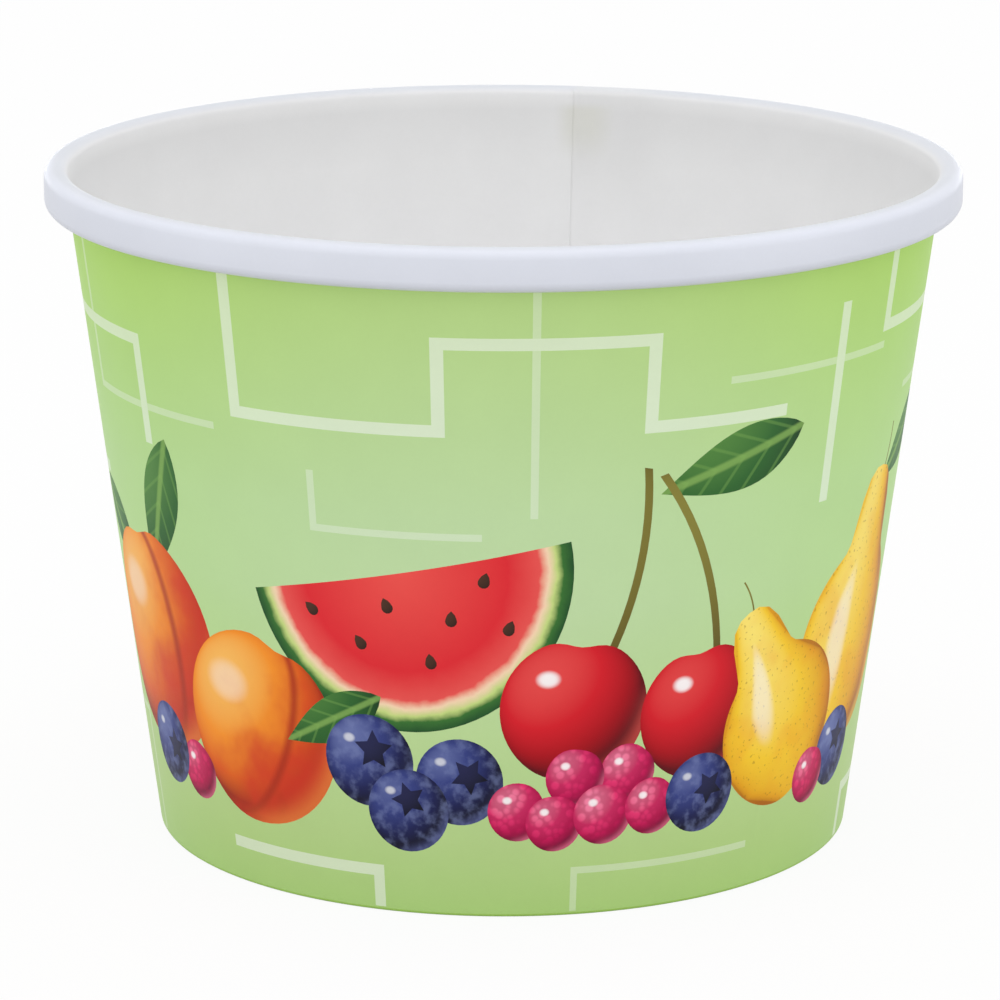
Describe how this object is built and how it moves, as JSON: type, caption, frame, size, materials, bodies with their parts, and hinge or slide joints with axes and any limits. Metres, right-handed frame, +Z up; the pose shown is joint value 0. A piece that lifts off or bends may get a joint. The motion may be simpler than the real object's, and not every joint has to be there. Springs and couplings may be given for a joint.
{
  "type": "paper ice cream cup",
  "caption": "Round tapered paper tub for ice cream, with a rolled rim, a lapped side seam and a recessed base gripped by the folded foot.",
  "frame": {"origin": "on the table, under the cup's axis", "axes": "+Z up along the cup's axis, -Y towards the side the picture shows, the lapped seam at the back"},
  "size_m": [0.096, 0.096, 0.071],
  "materials": {
    "printed_board": "coated board, green print with pale lines and fruit outside, bare white inside and over the rim",
    "white_board": "white coated board, satin"
  },
  "bodies": {
    "root": {"side_wall": "printed_board", "base_disc": "white_board"}
  },
  "joints": []
}
